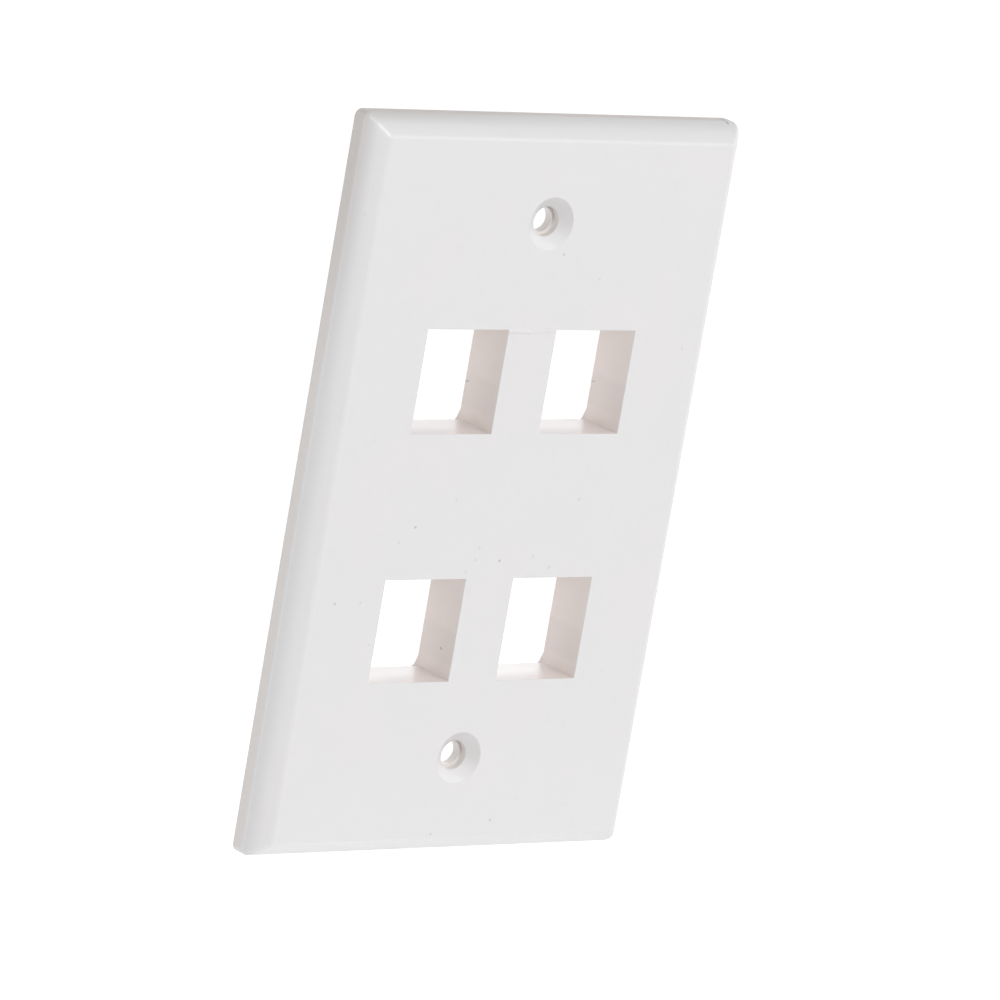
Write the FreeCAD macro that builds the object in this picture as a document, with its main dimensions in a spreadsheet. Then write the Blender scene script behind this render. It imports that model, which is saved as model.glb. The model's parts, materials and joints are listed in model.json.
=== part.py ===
import FreeCAD, Part
import math
import os
import re

import Sketcher

# Single-gang wall faceplate for four snap-in keystone jacks, moulded in one piece.
# Millimetres. X runs across the plate, Z up it. The face looks towards -Y and the back rim
# meets the wall in the plane Y = 0, with the origin at the middle of the plate's outline.

SIZES = [
    # the outline and the bevelled rim
    ("plate_width", "69.85", "standard single-gang plate"),
    ("plate_height", "114.3", "standard single-gang plate"),
    ("plate_thickness", "5.94", "wall to face"),
    ("skirt_rise", "2.33", "upright edge, wall to bevel"),
    ("bevel_width", "2.79", "bevel, seen from the front"),
    ("bevel_crown", "0.36", "how far the bevel bulges from flat"),
    ("skirt_corner_radius", "1.2", "plan corners of the skirt"),
    ("face_corner_radius", "0.55", "plan corners where bevel meets face"),
    ("crease_radius", "0.9", "rounding between bevel and face"),
    ("ridge_radius", "0.8", "rounding between skirt and bevel"),
    # the hollow back
    ("rim_wall", "2.0", "wall of the skirt"),
    ("face_skin", "2.2", "thickness of the face"),
    ("cavity_step", "1.8", "upright part of the hollow's side"),
    ("cavity_slope", "2.2", "width of the hollow's sloping side"),
    ("cavity_corner_radius", "0.8", "plan corners of the hollow"),
    # the two screw holes
    ("screw_spacing", "83.34", "standard device screw pitch"),
    ("screw_head_width", "8.2", "countersink at the face"),
    ("screw_head_depth", "1.45", "depth of the countersink"),
    ("screw_bore_width", "4.6", "bore behind the countersink"),
    ("screw_ring_depth", "2.6", "face to the ring that holds the screw"),
    ("screw_hole_width", "3.7", "hole in the ring"),
    ("screw_boss_width", "9.0", "boss round the hole"),
    ("screw_boss_depth", "4.15", "face to the back of the boss"),
    # the four ports
    ("column_spacing", "23.86", "centre to centre across"),
    ("row_spacing", "38.7", "centre to centre up the plate"),
    ("port_width", "14.9", "keystone opening"),
    ("port_height", "16.1", "keystone opening"),
    ("port_edge_radius", "0.12", "rounding of the opening's front edge"),
    ("latch_lip_depth", "5.5", "face to the latch pocket"),
    ("latch_rise", "4.2", "latch pocket above the opening"),
    ("latch_catch_drop", "2.0", "how far the upper catch hangs down"),
    ("catch_lead_in", "0.5", "bevel at the back of the upper catch"),
    ("ledge_depth", "8.0", "face to the hook slot in the floor"),
    ("hook_drop", "2.0", "depth of the hook slot below the floor"),
    ("catch_front_depth", "9.5", "face to the catch bars"),
    ("catch_back_depth", "11.5", "face to the back of the catch bars"),
    ("catch_sink", "0.6", "lower catch below the floor"),
    ("catch_tip", "0.15", "flat on top of the lower catch"),
    ("catch_back_drop", "2.45", "back edge of the lower catch, below the floor"),
    ("side_wall_depth", "8.4", "face to the back of the side walls"),
    ("gusset_rise", "1.6", "gusset at the foot of the side wall's back edge"),
    ("gusset_run", "0.65", "gusset, face to back, where it meets the floor"),
    ("housing_wall", "1.8", "wall of the port housing"),
    # worked out from the sizes above
    ("bevel_rise", "=plate_thickness - skirt_rise", "bevel, seen from the side"),
    ("bevel_chord", "=sqrt(bevel_rise^2 + bevel_width^2)", "skirt to face, straight"),
    ("cavity_depth", "=plate_thickness - face_skin", "wall plane to the hollow's roof"),
    ("port_floor", "=-(row_spacing + latch_rise + port_height) / 2", "lower openings' floor"),
    ("catch_length", "=catch_back_depth - side_wall_depth", "catch bars past the side walls"),
    ("catch_underside", "=port_height + latch_rise - latch_catch_drop", "above the floor"),
    ("housing_top", "=port_height + latch_rise + housing_wall", "above the floor"),
    ("housing_foot", "=-hook_drop - housing_wall", "below the floor"),
]
BEVEL_STEPS = 4

doc = FreeCAD.newDocument("KeystoneFaceplate")
sheet = doc.addObject("Spreadsheet::Sheet", "Sizes")
for row, (name, value, note) in enumerate(SIZES, start=1):
    sheet.set(f"A{row}", name)
    sheet.set(f"B{row}", value)
    sheet.set(f"C{row}", note)
    sheet.setAlias(f"B{row}", name)

# Stations up the bevel: a shallow outward bow between the skirt and the face.
row = len(SIZES)
for step in range(BEVEL_STEPS + 1):
    part_way = step / BEVEL_STEPS
    bow = 4 * part_way * (1 - part_way)
    for name, formula in [
        ("inset", f"=bevel_width * {part_way} - bevel_crown * {bow} * bevel_rise / bevel_chord"),
        (
            "height",
            f"=skirt_rise + bevel_rise * {part_way}"
            f" + bevel_crown * {bow} * bevel_width / bevel_chord",
        ),
        (
            "corner",
            f"=skirt_corner_radius + (face_corner_radius - skirt_corner_radius) * {part_way}",
        ),
    ]:
        row += 1
        sheet.set(f"A{row}", f"bevel_{name}_{step}")
        sheet.set(f"B{row}", formula)
        sheet.setAlias(f"B{row}", f"bevel_{name}_{step}")
doc.recompute()

body = doc.addObject("PartDesign::Body", "Faceplate")
body.Label = "faceplate"
origin = {feature.Role: feature for feature in body.Origin.OriginFeatures}


def bind(thing, path, formula):
    """Tie a property to a formula in the sheet's names."""
    thing.setExpression(path, re.sub(r"\b([a-z][a-z0-9_]+)\b", r"Sizes.\1", formula))


def new_sketch(name, plane, along="0", sideways="0", up="0"):
    """An empty sketch on an origin plane, moved along its normal and in its own plane."""
    sketch = body.newObject("Sketcher::SketchObject", name)
    sketch.AttachmentSupport = [(origin[plane], "")]
    sketch.MapMode = "FlatFace"
    bind(sketch, "AttachmentOffset.Base.x", sideways)
    bind(sketch, "AttachmentOffset.Base.y", up)
    bind(sketch, "AttachmentOffset.Base.z", along)
    return sketch


def polygon(sketch, corners):
    """A closed outline whose every corner is placed by two formulas."""
    count = len(corners)
    start = [
        FreeCAD.Vector(
            10 * math.cos(2 * math.pi * k / count), 10 * math.sin(2 * math.pi * k / count), 0
        )
        for k in range(count)
    ]
    for k in range(count):
        sketch.addGeometry(Part.LineSegment(start[k], start[(k + 1) % count]), False)
    for k in range(count):
        sketch.addConstraint(Sketcher.Constraint("Coincident", k, 2, (k + 1) % count, 1))
    for k, (across, up) in enumerate(corners):
        for kind, value, formula in (
            ("DistanceX", start[k].x, across),
            ("DistanceY", start[k].y, up),
        ):
            number = sketch.addConstraint(Sketcher.Constraint(kind, -1, 1, k, 1, value))
            bind(sketch, f"Constraints[{number}]", formula)
    return sketch


def rounded_rectangle(sketch, width, height, radius):
    """A rectangle about the sketch's origin with four equal round corners."""
    half_w, half_h, round_r = 30.0, 50.0, 1.0
    ends = [
        ((-half_w + round_r, -half_h), (half_w - round_r, -half_h)),
        ((half_w, -half_h + round_r), (half_w, half_h - round_r)),
        ((half_w - round_r, half_h), (-half_w + round_r, half_h)),
        ((-half_w, half_h - round_r), (-half_w, -half_h + round_r)),
    ]
    for first, last in ends:
        sketch.addGeometry(
            Part.LineSegment(FreeCAD.Vector(*first, 0), FreeCAD.Vector(*last, 0)), False
        )
    centres = [
        (half_w - round_r, -half_h + round_r),
        (half_w - round_r, half_h - round_r),
        (-half_w + round_r, half_h - round_r),
        (-half_w + round_r, -half_h + round_r),
    ]
    for k, centre in enumerate(centres):
        circle = Part.Circle(FreeCAD.Vector(*centre, 0), FreeCAD.Vector(0, 0, 1), round_r)
        turn = math.pi / 2
        sketch.addGeometry(Part.ArcOfCircle(circle, (k - 1) * turn, k * turn), False)
    for k in range(4):
        sketch.addConstraint(Sketcher.Constraint("Tangent", k, 2, 4 + k, 1))
        sketch.addConstraint(Sketcher.Constraint("Tangent", 4 + k, 2, (k + 1) % 4, 1))
    for k in (0, 2):
        sketch.addConstraint(Sketcher.Constraint("Horizontal", k))
        sketch.addConstraint(Sketcher.Constraint("Vertical", k + 1))
    for k in (5, 6, 7):
        sketch.addConstraint(Sketcher.Constraint("Equal", 4, k))
    for kind, line, value, formula in (
        ("DistanceX", 1, half_w, f"({width}) / 2"),
        ("DistanceX", 3, -half_w, f"-({width}) / 2"),
        ("DistanceY", 2, half_h, f"({height}) / 2"),
        ("DistanceY", 0, -half_h, f"-({height}) / 2"),
    ):
        number = sketch.addConstraint(Sketcher.Constraint(kind, -1, 1, line, 1, value))
        bind(sketch, f"Constraints[{number}]", formula)
    number = sketch.addConstraint(Sketcher.Constraint("Radius", 4, round_r))
    bind(sketch, f"Constraints[{number}]", radius)
    return sketch


def inset_rectangle(name, inset, height, radius):
    """The plate's outline drawn in by an inset, at a height above the wall."""
    return rounded_rectangle(
        new_sketch(name, "XZ_Plane", along=height),
        f"plate_width - 2 * ({inset})",
        f"plate_height - 2 * ({inset})",
        radius,
    )


def grow(kind, name, profile, **settings):
    """One feature of the body, made from a sketch."""
    feature = body.newObject("PartDesign::" + kind, name)
    feature.Profile = profile
    for key, value in settings.items():
        setattr(feature, key, value)
    body.Tip = feature
    return feature


def round_edges(name, radius, choose):
    """A fillet on the edges of the present shape that pass a test."""
    doc.recompute()
    base = body.Tip
    picked = [
        f"Edge{number}"
        for number, edge in enumerate(base.Shape.Edges, start=1)
        if choose(edge.BoundBox)
    ]
    fillet = body.newObject("PartDesign::Fillet", name)
    fillet.Base = (base, picked)
    bind(fillet, "Radius", radius)
    body.Tip = fillet
    return fillet


# The skirt stands square off the wall.
skirt = grow("Pad", "Skirt", inset_rectangle("SkirtOutline", "0", "0", "skirt_corner_radius"))
bind(skirt, "Length", "skirt_rise")

# The bevel rises from it in a shallow bow, and its corners tighten towards the face.
stations = [
    inset_rectangle(
        f"BevelOutline{step}",
        f"bevel_inset_{step}",
        f"bevel_height_{step}",
        f"bevel_corner_{step}",
    )
    for step in range(BEVEL_STEPS + 1)
]
bevel = grow("AdditiveLoft", "Bevel", stations[0], Sections=stations[1:])

doc.recompute()
face_y = -sheet.get("plate_thickness")
ridge_y = -sheet.get("skirt_rise")
round_edges("CreaseRounding", "crease_radius", lambda box: box.YMax < face_y + 1e-4)
round_edges(
    "RidgeRounding",
    "ridge_radius",
    lambda box: abs(box.YMin - ridge_y) < 1e-4 and abs(box.YMax - ridge_y) < 1e-4,
)

# The back is hollow: an upright step inside the skirt, then a slope that follows the bevel.
hollow = grow(
    "Pocket",
    "HollowStep",
    inset_rectangle("HollowOutline", "rim_wall", "0", "cavity_corner_radius"),
    Reversed=True,
)
bind(hollow, "Length", "cavity_step")
grow(
    "SubtractiveLoft",
    "HollowSlope",
    inset_rectangle("HollowMouth", "rim_wall", "cavity_step", "cavity_corner_radius"),
    Sections=[
        inset_rectangle(
            "HollowRoof", "rim_wall + cavity_slope", "cavity_depth", "cavity_corner_radius"
        )
    ],
    Ruled=True,
)

# A boss behind each screw hole. The hole is countersunk, and a ring at its back keeps the
# screw from falling out.
boss_sketch = new_sketch("BossOutline", "XZ_Plane", along="plate_thickness - screw_boss_depth")
boss_sketch.addGeometry(
    Part.Circle(FreeCAD.Vector(0, 40, 0), FreeCAD.Vector(0, 0, 1), 4), False
)
boss_sketch.addConstraint(Sketcher.Constraint("PointOnObject", 0, 3, -2))
for kind, value, formula in (
    ("DistanceY", 40, "screw_spacing / 2"),
    ("Diameter", 8, "screw_boss_width"),
):
    ends = (-1, 1, 0, 3) if kind == "DistanceY" else (0,)
    number = boss_sketch.addConstraint(Sketcher.Constraint(kind, *ends, value))
    bind(boss_sketch, f"Constraints[{number}]", formula)
boss = grow("Pad", "ScrewBoss", boss_sketch)
bind(boss, "Length", "screw_boss_depth - face_skin / 2")

hole_sketch = polygon(
    new_sketch("ScrewHoleProfile", "YZ_Plane", sideways="-plate_thickness", up="screw_spacing / 2"),
    [
        ("0", "0"),
        ("0", "screw_head_width / 2"),
        ("screw_head_depth", "screw_bore_width / 2"),
        ("screw_ring_depth", "screw_bore_width / 2"),
        ("screw_ring_depth", "screw_hole_width / 2"),
        ("screw_boss_depth", "screw_hole_width / 2"),
        ("screw_boss_depth", "0"),
    ],
)
hole = grow(
    "Groove", "ScrewHole", hole_sketch, ReferenceAxis=(hole_sketch, ["H_Axis"]), Angle=360
)
pair = body.newObject("PartDesign::LinearPattern", "ScrewHolePair")
pair.Originals = [boss, hole]
pair.Direction = (origin["Z_Axis"], [""])
pair.Reversed = True
pair.Occurrences = 2
bind(pair, "Length", "screw_spacing")
body.Tip = pair

# One port, seen from the side: depth runs back from the face, height runs up from its floor.
# The housing's side walls stop short of the catch bars that cross it above and below.
side_view = {"along": "-column_spacing / 2", "sideways": "-plate_thickness", "up": "port_floor"}
housing_sketch = polygon(
    new_sketch("HousingProfile", "YZ_Plane", **side_view),
    [
        ("face_skin / 2", "housing_foot"),
        ("catch_back_depth", "housing_foot"),
        ("catch_back_depth", "-catch_back_drop"),
        ("side_wall_depth + gusset_run", "0"),
        ("side_wall_depth", "gusset_rise"),
        ("side_wall_depth", "catch_underside - catch_length"),
        ("catch_back_depth", "catch_underside"),
        ("catch_back_depth", "housing_top"),
        ("face_skin / 2", "housing_top"),
    ],
)
housing = grow("Pad", "PortHousing", housing_sketch, SideType="Symmetric")
bind(housing, "Length", "port_width + 2 * housing_wall")

# What a jack needs: a floor with a hook slot cut across it, a sloping lower catch, a lip and a
# pocket for its latch above, and the upper catch behind the pocket.
port_sketch = polygon(
    new_sketch("PortProfile", "YZ_Plane", **side_view),
    [
        ("-face_skin", "0"),
        ("ledge_depth", "0"),
        ("ledge_depth", "-hook_drop"),
        ("catch_front_depth", "-hook_drop"),
        ("catch_front_depth", "-catch_sink"),
        ("catch_front_depth + catch_tip", "-catch_sink"),
        ("catch_back_depth", "-catch_back_drop"),
        ("catch_back_depth + 1", "-catch_back_drop"),
        ("catch_back_depth + 1", "catch_underside + catch_lead_in + 1"),
        ("catch_back_depth - catch_lead_in", "catch_underside"),
        ("catch_front_depth", "catch_underside"),
        ("catch_front_depth", "port_height + latch_rise"),
        ("latch_lip_depth", "port_height + latch_rise"),
        ("latch_lip_depth", "port_height"),
        ("-face_skin", "port_height"),
    ],
)
port = grow("Pocket", "PortOpening", port_sketch, SideType="Symmetric")
bind(port, "Length", "port_width")

ports = body.newObject("PartDesign::LinearPattern", "PortGrid")
ports.Originals = [housing, port]
ports.Direction = (origin["X_Axis"], [""])
ports.Occurrences = 2
bind(ports, "Length", "column_spacing")
ports.Direction2 = (origin["Z_Axis"], [""])
ports.Occurrences2 = 2
bind(ports, "Length2", "row_spacing")
body.Tip = ports

# The opening's front edges are only just broken, so they read as sharp.
opening_reach = sheet.get("column_spacing") / 2 + sheet.get("port_width") / 2
round_edges(
    "PortEdgeRounding",
    "port_edge_radius",
    lambda box: box.YMax < face_y + 1e-4
    and -opening_reach - 1e-4 < box.XMin
    and box.XMax < opening_reach + 1e-4
    and min(abs(box.XMin), abs(box.XMax)) > 1,
)

doc.recompute()
for thing in doc.Objects:
    if "Invalid" in thing.State or "Error" in thing.State:
        raise RuntimeError(f"{thing.Name} did not rebuild")
steps = [thing for thing in body.Group if thing.isDerivedFrom("PartDesign::Feature")]
for before, after in zip(steps, steps[1:]):
    if after.Shape.isNull() or not after.Shape.isValid():
        raise RuntimeError(f"{after.Name} has no valid shape")
    if abs(after.Shape.Volume - before.Shape.Volume) < 1e-3:
        raise RuntimeError(f"{after.Name} changed nothing")
if len(body.Shape.Solids) != 1:
    raise RuntimeError("the plate is not one solid")

os.makedirs("parts", exist_ok=True)
body.Shape.exportStep(f"parts/{body.Label}.step")
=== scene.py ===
import json
import math

import bpy
from mathutils import Matrix, Vector


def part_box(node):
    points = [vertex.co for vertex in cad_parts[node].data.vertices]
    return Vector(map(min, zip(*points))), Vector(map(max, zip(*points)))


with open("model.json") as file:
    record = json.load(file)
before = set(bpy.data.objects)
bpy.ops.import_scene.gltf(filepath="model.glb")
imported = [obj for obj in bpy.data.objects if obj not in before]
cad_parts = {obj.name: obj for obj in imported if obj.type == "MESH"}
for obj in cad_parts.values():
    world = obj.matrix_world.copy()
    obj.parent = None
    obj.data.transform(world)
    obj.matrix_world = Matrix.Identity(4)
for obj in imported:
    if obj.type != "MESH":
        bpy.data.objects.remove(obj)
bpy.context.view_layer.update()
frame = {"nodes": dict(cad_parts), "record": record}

# The camera: a long lens a little over a metre away, to the left of the plate and above it,
# and tipped so the plate leans to the right.
camera_aim = Vector((0.002144, -0.002358, -0.002157))
camera_distance = 1.19017
camera_azimuth = math.radians(-38.430)
camera_elevation = math.radians(13.394)
camera_roll = math.radians(9.858)
toward_camera = Vector(
    (
        math.sin(camera_azimuth) * math.cos(camera_elevation),
        -math.cos(camera_azimuth) * math.cos(camera_elevation),
        math.sin(camera_elevation),
    )
)
camera_data = bpy.data.cameras.new("camera")
camera_data.lens = 285.25
camera_data.sensor_width = 36.0
camera_data.clip_start = 0.05
camera_data.clip_end = 20.0
camera = bpy.data.objects.new("camera", camera_data)
camera.matrix_world = (
    Matrix.Translation(camera_aim + toward_camera * camera_distance)
    @ (-toward_camera).to_track_quat("-Z", "Y").to_matrix().to_4x4()
    @ Matrix.Rotation(camera_roll, 4, "Z")
)
bpy.context.scene.collection.objects.link(camera)
bpy.context.scene.camera = camera

bpy.context.scene.view_settings.view_transform = "Standard"


# The faceplate: one piece of white ABS, injection moulded in a polished tool, so every face has
# the same soft gloss. Two screws through its countersunk holes hold it to the box in the wall.
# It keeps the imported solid's own mesh, and this section is its material.
plate = frame["nodes"]["faceplate"]


def new_material(name):
    """A node material with nothing in it but its output."""
    material = bpy.data.materials.new(name)
    material.use_nodes = True
    nodes = material.node_tree.nodes
    nodes.clear()
    return material, nodes, material.node_tree.links, nodes.new("ShaderNodeOutputMaterial")


plate_plastic, nodes, links, output = new_material("moulded_white_abs")


def feed(node, number, value):
    """Link an input to another node's output, or set it to a constant. A colour may leave out
    its alpha."""
    if isinstance(value, bpy.types.NodeSocket):
        node.id_data.links.new(value, node.inputs[number])
    elif node.inputs[number].type == "RGBA" and len(value) == 3:
        node.inputs[number].default_value = (*value, 1.0)
    else:
        node.inputs[number].default_value = value


def calculate(operation, *values, clamp=False):
    """One Math node."""
    node = nodes.new("ShaderNodeMath")
    node.operation = operation
    node.use_clamp = clamp
    for number, value in enumerate(values):
        feed(node, number, value)
    return node.outputs["Value"]


def times(first, *others):
    """Values multiplied together. Of masks, it is 1 only where all of them are."""
    product = first
    for other in others:
        product = calculate("MULTIPLY", product, other)
    return product


def vector(operation, *values):
    """One Vector Math node, with the output that its operation fills."""
    node = nodes.new("ShaderNodeVectorMath")
    node.operation = operation
    for number, value in enumerate(values):
        feed(node, number, value)
    scalar = operation in ("DOT_PRODUCT", "DISTANCE", "LENGTH")
    return node.outputs["Value" if scalar else "Vector"]


def scaled(direction, factor):
    """A vector made longer or shorter."""
    node = nodes.new("ShaderNodeVectorMath")
    node.operation = "SCALE"
    feed(node, 0, direction)
    feed(node, "Scale", factor)
    return node.outputs["Vector"]


def step(value, start, end):
    """0 up to start, 1 from end on, and a smooth rise between; start may be the larger."""
    node = nodes.new("ShaderNodeMapRange")
    node.interpolation_type = "SMOOTHSTEP"
    feed(node, 0, value)
    feed(node, "From Min", start)
    feed(node, "From Max", end)
    return node.outputs["Result"]


def between(value, low, high, soft):
    """1 from low to high, falling to 0 over a soft distance on both sides."""
    return times(step(value, low - soft, low), step(value, high + soft, high))


def tinted(colour, tint, mask, strength=1.0):
    """A colour that turns to a tint, as far as the strength, where a mask is 1."""
    node = nodes.new("ShaderNodeMix")
    node.data_type = "RGBA"
    feed(node, "Factor", mask if strength == 1.0 else times(mask, strength))
    feed(node, 6, colour)
    feed(node, 7, tint)
    return node.outputs[2]


# Places on the plate in millimetres, and the way each face looks.
mm_in_a_metre = 1000.0
coordinates = nodes.new("ShaderNodeTexCoord")
place = scaled(coordinates.outputs["Object"], mm_in_a_metre)
axes = nodes.new("ShaderNodeSeparateXYZ")
links.new(place, axes.inputs["Vector"])
across, depth, height = axes.outputs["X"], axes.outputs["Y"], axes.outputs["Z"]
from_middle = calculate("ABSOLUTE", across)
from_centre = calculate("ABSOLUTE", height)
facing = nodes.new("ShaderNodeSeparateXYZ")
links.new(coordinates.outputs["Normal"], facing.inputs["Vector"])
to_the_side = calculate("ABSOLUTE", facing.outputs["X"])
to_the_ends = calculate("ABSOLUTE", facing.outputs["Z"])


def noise(scale, detail, roughness):
    """Cloudy noise about 0.5, in features of about 1 / scale millimetres."""
    node = nodes.new("ShaderNodeTexNoise")
    feed(node, "Vector", place)
    feed(node, "Scale", scale)
    feed(node, "Detail", detail)
    feed(node, "Roughness", roughness)
    return node.outputs["Fac"]


# The plate's own sizes, from the frame: its outline, its screws and its openings. The record's
# room for a jack keeps a little clear of the walls of the opening.
plate_low, plate_high = [mm_in_a_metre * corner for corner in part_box("faceplate")]
face_y = plate_low.y
mounts = {mount["name"]: mount for mount in frame["record"]["mounts"]}
screws = mounts["device_screws"]
screw_offset = 0.5 * screws["dims"]["spacing_y_mm"]
ring_radius = screws["dims"]["hole_r_mm"]
ring_y = mm_in_a_metre * screws["pos_m"][1]
rooms = {room["name"]: room["box_m"] for room in frame["record"]["physics"]["openings"]}
room_clearance = 0.2
upper_low, upper_high = [mm_in_a_metre * Vector(corner) for corner in rooms["port_upper_right"]]
lower_low = mm_in_a_metre * Vector(rooms["port_lower_right"][0])
inner_wall = upper_low.x - room_clearance
outer_wall = upper_high.x + room_clearance
upper_ledge = upper_low.z - room_clearance
lower_ledge = lower_low.z - room_clearance
row_spacing = upper_ledge - lower_ledge

# The white itself, a shade cooler and warmer in broad clouds as the pigment mixed, with a fine
# grain and the faint blotches that handling leaves.
pink_white = (0.757, 0.742, 0.748)
plain_white = (0.750, 0.748, 0.750)
colour = tinted(pink_white, plain_white, step(noise(0.06, 3.0, 0.55), 0.35, 0.65))
grain = noise(1.7, 2.0, 0.5)
colour = tinted(colour, (0.730, 0.717, 0.720), grain, 0.22)
blotches = step(noise(0.45, 3.0, 0.6), 0.62, 0.76)
colour = tinted(colour, (0.66, 0.65, 0.655), blotches, 0.16)

# The rim, painted with light and shade: painted shade greys the bevel towards its outer edge,
# the skirt is painted with warm light, as light through the thin skirt, with painted shade on its
# top and bottom ends, the crease between the two carries a painted highlight on the long sides,
# and painted shade darkens the rim towards the upper left corner.
rim_start, rim_full = 3.3, 2.7
at_the_rim = calculate(
    "MAXIMUM",
    step(from_middle, plate_high.x - rim_start, plate_high.x - rim_full),
    step(from_centre, plate_high.z - rim_start, plate_high.z - rim_full),
)
crease_y = -2.4
# Painted shade: the bevel darker towards its outer edge.
outer_bevel_shade = times(at_the_rim, step(depth, -4.9, -2.5), step(depth, -2.1, crease_y))
colour = tinted(colour, (0.66, 0.655, 0.665), outer_bevel_shade, 0.75)
# Painted light and shade on the skirt: warm light on the sides, painted shade on the top and
# bottom ends.
side_skirt = (0.755, 0.710, 0.685)
shaded_end_skirt = (0.610, 0.545, 0.525)
skirt_light_and_shade = tinted(side_skirt, shaded_end_skirt, step(to_the_ends, 0.5, 0.9))
painted_skirt_light = times(at_the_rim, step(depth, -2.5, -1.6))
colour = tinted(colour, skirt_light_and_shade, painted_skirt_light, 0.8)
# A painted highlight along the crease on the long sides.
crease = times(at_the_rim, between(depth, crease_y - 0.1, crease_y + 0.1, 0.2))
long_crease_highlight = times(crease, step(to_the_side, 0.5, 0.8))
colour = tinted(colour, (0.83, 0.81, 0.80), long_crease_highlight, 0.35)
# Painted shade on the rim towards the upper left corner.
upper_left_corner = (plate_low.x, -1.0, plate_high.z)
upper_left_shade = times(
    at_the_rim,
    step(vector("DISTANCE", place, upper_left_corner), 45.0, 5.0),
    step(depth, -4.8, -2.2),
)
colour = tinted(colour, (0.56, 0.53, 0.51), upper_left_shade, 0.55)

# The walls of the openings are thin too, and painted with warm light: pinker towards the back,
# with a band of painted shade above the ledge. The same painted warm light runs on to each ledge,
# next to its right wall.
spill = 0.17
ledge_spill = 0.3
row_rise = 20.5
in_opening = times(
    between(from_middle, inner_wall - spill, outer_wall + spill, 0.1),
    calculate(
        "MAXIMUM",
        between(height, lower_ledge - ledge_spill, lower_ledge + row_rise, 0.3),
        between(height, upper_ledge - ledge_spill, upper_ledge + row_rise, 0.3),
    ),
    step(depth, face_y, face_y + 0.25),
)
# Painted warm light on the walls of the openings, and painted shade in the grey band.
wall_clouds = times(calculate("SUBTRACT", noise(0.30, 2.0, 0.5), 0.5), 12.0)
pinker = step(calculate("ADD", depth, wall_clouds), -3.5, 2.0)
painted_wall_light = tinted((0.875, 0.805, 0.770), (0.872, 0.785, 0.745), pinker)
above_ledge = calculate("FLOORED_MODULO", calculate("SUBTRACT", height, lower_ledge), row_spacing)
painted_wall_shade_band = between(above_ledge, 3.0, 6.8, 1.2)
painted_wall_light = tinted(painted_wall_light, (0.835, 0.760, 0.728), painted_wall_shade_band)
colour = tinted(colour, painted_wall_light, times(in_opening, step(to_the_side, 0.6, 0.9)))
# Painted light and shade on each ledge: bright deep in, where light from behind falls, darker
# towards the front.
on_ledge = times(in_opening, step(facing.outputs["Z"], 0.5, 0.9))
lit_deep_ledge = (0.895, 0.880, 0.880)
shaded_front_ledge = (0.670, 0.645, 0.645)
ledge_light_and_shade = tinted(lit_deep_ledge, shaded_front_ledge, step(depth, -1.0, face_y))
colour = tinted(colour, ledge_light_and_shade, on_ledge)
# Painted warm light on the ledge beside its right wall, in that wall's shadow.
column = 0.5 * (inner_wall + outer_wall)
from_column = calculate("SUBTRACT", from_middle, column)
to_the_right = times(from_column, calculate("SIGN", across))
warm_light_beside_wall = step(calculate("SUBTRACT", to_the_right, depth), 4.0, 7.2)
colour = tinted(colour, (0.86, 0.775, 0.745), times(on_ledge, warm_light_beside_wall), 0.9)

# Each screw's countersink has painted shade above and to the right and a painted highlight below
# and to the left, its bore is warm inside, and painted shade sits in the corner before the ring.
beyond_screw = calculate("SUBTRACT", from_centre, screw_offset)
above_screw = times(beyond_screw, calculate("SIGN", height))
from_axis = calculate(
    "SQRT",
    calculate("ADD", calculate("POWER", across, 2.0), calculate("POWER", beyond_screw, 2.0)),
)
head_radius = 4.1
bore_radius = 2.3
in_cone = times(
    step(from_axis, head_radius + 0.05, head_radius - 0.1),
    step(depth, face_y + 0.02, face_y + 0.12),
)
# Painted shade on the upper right of each countersink, and a painted highlight on its lower left.
up_and_right = calculate("ADD", times(across, 0.5), above_screw)
shaded_cone = times(in_cone, step(up_and_right, -1.5, 2.0))
colour = tinted(colour, (0.655, 0.635, 0.635), shaded_cone, 0.8)
cone_highlight = times(in_cone, step(up_and_right, -1.8, -3.4))
colour = tinted(colour, (0.86, 0.85, 0.86), cone_highlight, 0.7)
bore_y = -4.49
in_bore = times(
    step(from_axis, bore_radius + 0.2, bore_radius + 0.05), step(depth, bore_y, bore_y + 0.2)
)
colour = tinted(colour, (0.80, 0.765, 0.745), in_bore)
# Painted shade in the corner before the ring, on its upper side.
ring_corner_shade = times(
    between(from_axis, ring_radius + 0.17, bore_radius + 0.05, 0.08),
    between(depth, ring_y - 0.06, ring_y + 0.1, 0.1),
    step(above_screw, -1.2, 0.8),
)
colour = tinted(colour, (0.33, 0.30, 0.28), ring_corner_shade, 0.62)


def streak(start, end, half_width):
    """1 on the line from one place to another, falling to 0 at a half width.

    The nearest point of the line is its start plus the part of its length found by projecting
    the place on it, kept between its two ends."""
    run = Vector(end) - Vector(start)
    offset = vector("SUBTRACT", place, tuple(start))
    along = calculate(
        "DIVIDE", vector("DOT_PRODUCT", offset, tuple(run)), run.length_squared, clamp=True
    )
    away = vector("DISTANCE", offset, scaled(tuple(run), along))
    return step(away, half_width, 0.35 * half_width)
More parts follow.
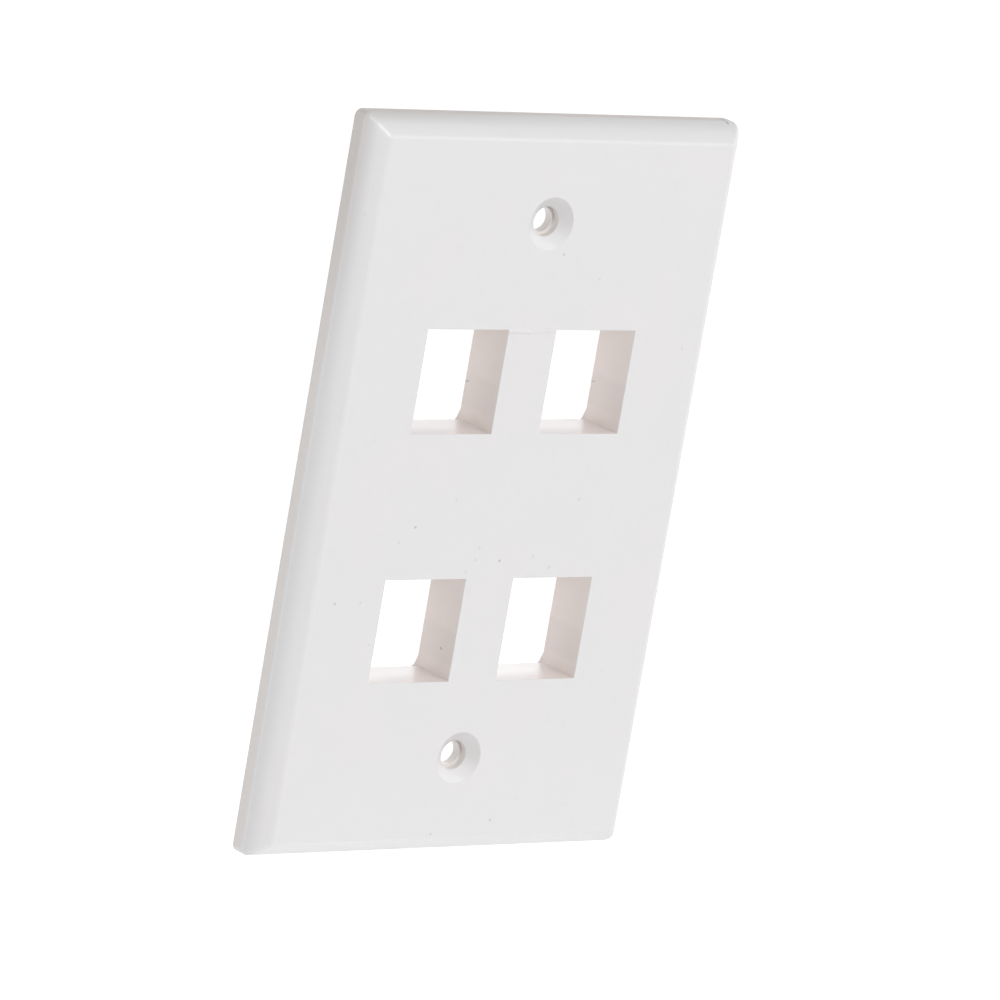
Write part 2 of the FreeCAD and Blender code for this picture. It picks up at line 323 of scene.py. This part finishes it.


# Thin marks, each with its two ends, half width, tint and strength: a faint weld line between
# the two upper openings with a paler edge above it, a scratch on the top ridge, a painted
# highlight along the upper left mitre, two scuffs on the left bevel, a speck in the lower left
# opening and a short dash of painted shade near the back of the right wall of each upper opening.
weld_grey = (0.60, 0.59, 0.60)
weld_fading = (0.62, 0.61, 0.62)
weld_edge = (0.84, 0.83, 0.84)
scratch_grey = (0.33, 0.33, 0.33)
wall_dash_shade = (0.45, 0.40, 0.38)
left_wall = -inner_wall
right_wall = outer_wall
ridge_z = plate_high.z
marks = [
    ((-4.7, face_y, 24.88), (-0.5, face_y, 24.75), 0.22, weld_grey, 0.42),
    ((-0.5, face_y, 24.75), (4.2, face_y, 25.03), 0.20, weld_fading, 0.24),
    ((-4.7, face_y, 25.30), (-0.5, face_y, 25.17), 0.26, weld_edge, 0.30),
    ((32.6, -0.9, ridge_z), (32.6, -2.8, ridge_z - 0.2), 0.30, scratch_grey, 0.80),
    # The upper left mitre's two pieces are a painted highlight.
    ((-34.3, -3.1, 56.5), (-33.5, -4.4, 55.75), 0.24, (0.90, 0.90, 0.90), 0.40),
    ((-33.5, -4.4, 55.75), (-32.3, -5.8, 54.5), 0.25, (0.95, 0.95, 0.95), 0.65),
    ((-33.6, -4.4, 42.3), (-32.9, -5.0, 42.0), 0.25, (0.55, 0.55, 0.55), 0.45),
    ((-33.4, -4.6, 32.0), (-32.3, -5.4, 31.8), 0.22, (0.60, 0.60, 0.60), 0.40),
    ((left_wall, -2.9, -25.3), (left_wall, -2.6, -25.2), 0.22, (0.30, 0.27, 0.25), 0.60),
    # The dashes in the right walls are painted shade.
    ((left_wall, 2.4, 15.05), (left_wall, 1.6, 15.3), 0.20, wall_dash_shade, 0.50),
    ((right_wall, 2.4, 15.05), (right_wall, 1.6, 15.3), 0.20, wall_dash_shade, 0.50),
]
for start, end, half_width, tint, strength in marks:
    colour = tinted(colour, tint, streak(start, end, half_width), strength)

# Dark specks in the face: across, height, size and darkness of each.
speck_colour = (0.30, 0.29, 0.28)
specks = [
    (3.3, 37.0, 0.26, 0.50),
    (-15.6, -5.2, 0.28, 0.60),
    (1.2, -10.6, 0.26, 0.70),
    (-18.2, -7.5, 0.30, 0.20),
    (-8.8, -1.1, 0.36, 0.16),
    (14.3, -1.1, 0.34, 0.22),
    (10.8, 33.3, 0.30, 0.20),
    (-28.1, -16.9, 0.28, 0.50),
    (-23.4, -16.8, 0.30, 0.20),
    (-20.5, -23.4, 0.30, 0.20),
    (8.0, -51.8, 0.28, 0.45),
    (-2.9, -53.7, 0.34, 0.22),
    (28.9, 22.6, 0.30, 0.20),
    (-3.0, -8.6, 0.36, 0.16),
    (-3.4, -10.4, 0.36, 0.16),
    (-4.8, -12.3, 0.36, 0.16),
    (7.4, -10.0, 0.36, 0.16),
    (10.8, -11.8, 0.40, 0.22),
]
for speck_across, speck_height, size, darkness in specks:
    away = vector("DISTANCE", place, (speck_across, face_y, speck_height))
    colour = tinted(colour, speck_colour, step(away, size, 0.3 * size), darkness)

# The gloss is uneven where hands and cloths have been, and the moulded skin is faintly wavy.
smears = noise(0.11, 4.0, 0.6)
rubbed = noise(0.9, 5.0, 0.65)
gloss = calculate("ADD", 0.29, times(smears, 0.14))
gloss = calculate("ADD", gloss, times(rubbed, 0.06))
waves = noise(0.5, 2.0, 0.5)
skin = calculate("ADD", times(waves, 0.75), times(grain, 0.25))
relief = nodes.new("ShaderNodeBump")
feed(relief, "Strength", 0.25)
feed(relief, "Distance", 0.00003)
feed(relief, "Height", skin)

plastic = nodes.new("ShaderNodeBsdfPrincipled")
feed(plastic, "IOR", 1.5)
feed(plastic, "Base Color", colour)
feed(plastic, "Roughness", gloss)
feed(plastic, "Normal", relief.outputs["Normal"])
links.new(plastic.outputs["BSDF"], output.inputs["Surface"])
plate.material_slots[0].material = plate_plastic


# The floor: a pale level sheet well below the plate, which takes its shadow. It is seen and
# mirrored nearly white, and it is clear from below, so it hides nothing.
floor_drop = 0.25
floor_reach = 6.0
white_light = (1.0, 1.0, 1.0)
floor_mesh = bpy.data.meshes.new("floor")
floor_mesh.from_pydata(
    [
        (-floor_reach, -floor_reach, -floor_drop),
        (floor_reach, -floor_reach, -floor_drop),
        (floor_reach, floor_reach, -floor_drop),
        (-floor_reach, floor_reach, -floor_drop),
    ],
    [],
    [(0, 1, 2, 3)],
)
floor = bpy.data.objects.new("floor", floor_mesh)
bpy.context.scene.collection.objects.link(floor)
floor_paint, nodes, links, output = new_material("pale_floor")


def seen_or_mirrored():
    """1 for the camera's rays and for those that a gloss or a clear surface sends on."""
    path = nodes.new("ShaderNodeLightPath")
    seen = calculate("MAXIMUM", path.outputs["Is Camera Ray"], path.outputs["Is Glossy Ray"])
    return calculate("MAXIMUM", seen, path.outputs["Is Transmission Ray"])


matt = nodes.new("ShaderNodeBsdfDiffuse")
feed(matt, "Color", (0.85, 0.85, 0.85))
glow = nodes.new("ShaderNodeEmission")
feed(glow, "Color", white_light)
feed(glow, "Strength", times(seen_or_mirrored(), 0.75))
lit = nodes.new("ShaderNodeAddShader")
links.new(matt.outputs["BSDF"], lit.inputs[0])
links.new(glow.outputs["Emission"], lit.inputs[1])
surface = nodes.new("ShaderNodeNewGeometry")
clear = nodes.new("ShaderNodeBsdfTransparent")
from_above = nodes.new("ShaderNodeMixShader")
links.new(surface.outputs["Backfacing"], from_above.inputs["Fac"])
links.new(lit.outputs["Shader"], from_above.inputs[1])
links.new(clear.outputs["BSDF"], from_above.inputs[2])
links.new(from_above.outputs["Shader"], output.inputs["Surface"])
floor.data.materials.append(floor_paint)


# The room: white to the camera and in reflections, and a dim grey as a light, so the lamps
# shape the plate.
world = bpy.data.worlds.new("studio")
bpy.context.scene.world = world
world.use_nodes = True
nodes, links = world.node_tree.nodes, world.node_tree.links
nodes.clear()
output = nodes.new("ShaderNodeOutputWorld")
dim_room = nodes.new("ShaderNodeBackground")
feed(dim_room, "Color", white_light)
feed(dim_room, "Strength", 0.30)
white_room = nodes.new("ShaderNodeBackground")
feed(white_room, "Color", white_light)
feed(white_room, "Strength", 1.0)
sky = nodes.new("ShaderNodeMixShader")
links.new(seen_or_mirrored(), sky.inputs["Fac"])
links.new(dim_room.outputs["Background"], sky.inputs[1])
links.new(white_room.outputs["Background"], sky.inputs[2])
links.new(sky.outputs["Shader"], output.inputs["Surface"])


# The lamps: large soft boxes light the face from in front, and one each side and one above light
# the bevels and the skirt. A small box behind lights the walls of the openings, and a dim card
# below lifts the lower bevel.
def soft_box(name, centre, width, height, radiance, aim=(0.0, 0.0, 0.0)):
    """A rectangular lamp whose face has a given brightness, and which the camera can't see."""
    data = bpy.data.lights.new(name, "AREA")
    data.shape = "RECTANGLE"
    data.size = width
    data.size_y = height
    data.energy = radiance * math.pi * width * height
    lamp = bpy.data.objects.new(name, data)
    beam = (Vector(aim) - Vector(centre)).normalized()
    lamp.matrix_world = (
        Matrix.Translation(centre) @ beam.to_track_quat("-Z", "Y").to_matrix().to_4x4()
    )
    lamp.visible_camera = False
    bpy.context.scene.collection.objects.link(lamp)


soft_box("front_box", (0.62, -0.85, 0.42), 0.7, 0.7, 1.85)
soft_box("fill_box", (-0.1, -1.1, 0.42), 0.9, 0.9, 1.45)
soft_box("high_box", (0.1, -1.0, 0.95), 0.9, 0.9, 0.95)
soft_box("top_box", (0.0, 0.0, 1.2), 0.9, 0.9, 0.9)
soft_box("left_box", (-1.15, 0.25, 0.12), 0.8, 0.8, 1.7)
soft_box("left_front_box", (-1.0, -0.9, 0.1), 0.8, 0.8, 1.05)
soft_box("right_box", (1.2, -0.1, 0.15), 0.8, 0.8, 1.0)
soft_box("back_box", (0.035, 0.1, 0.0), 0.15, 0.11, 1.35)
soft_box("under_card", (0.0, -0.02, -0.12), 0.14, 0.06, 0.52, aim=(0.0, -0.01, 0.0))
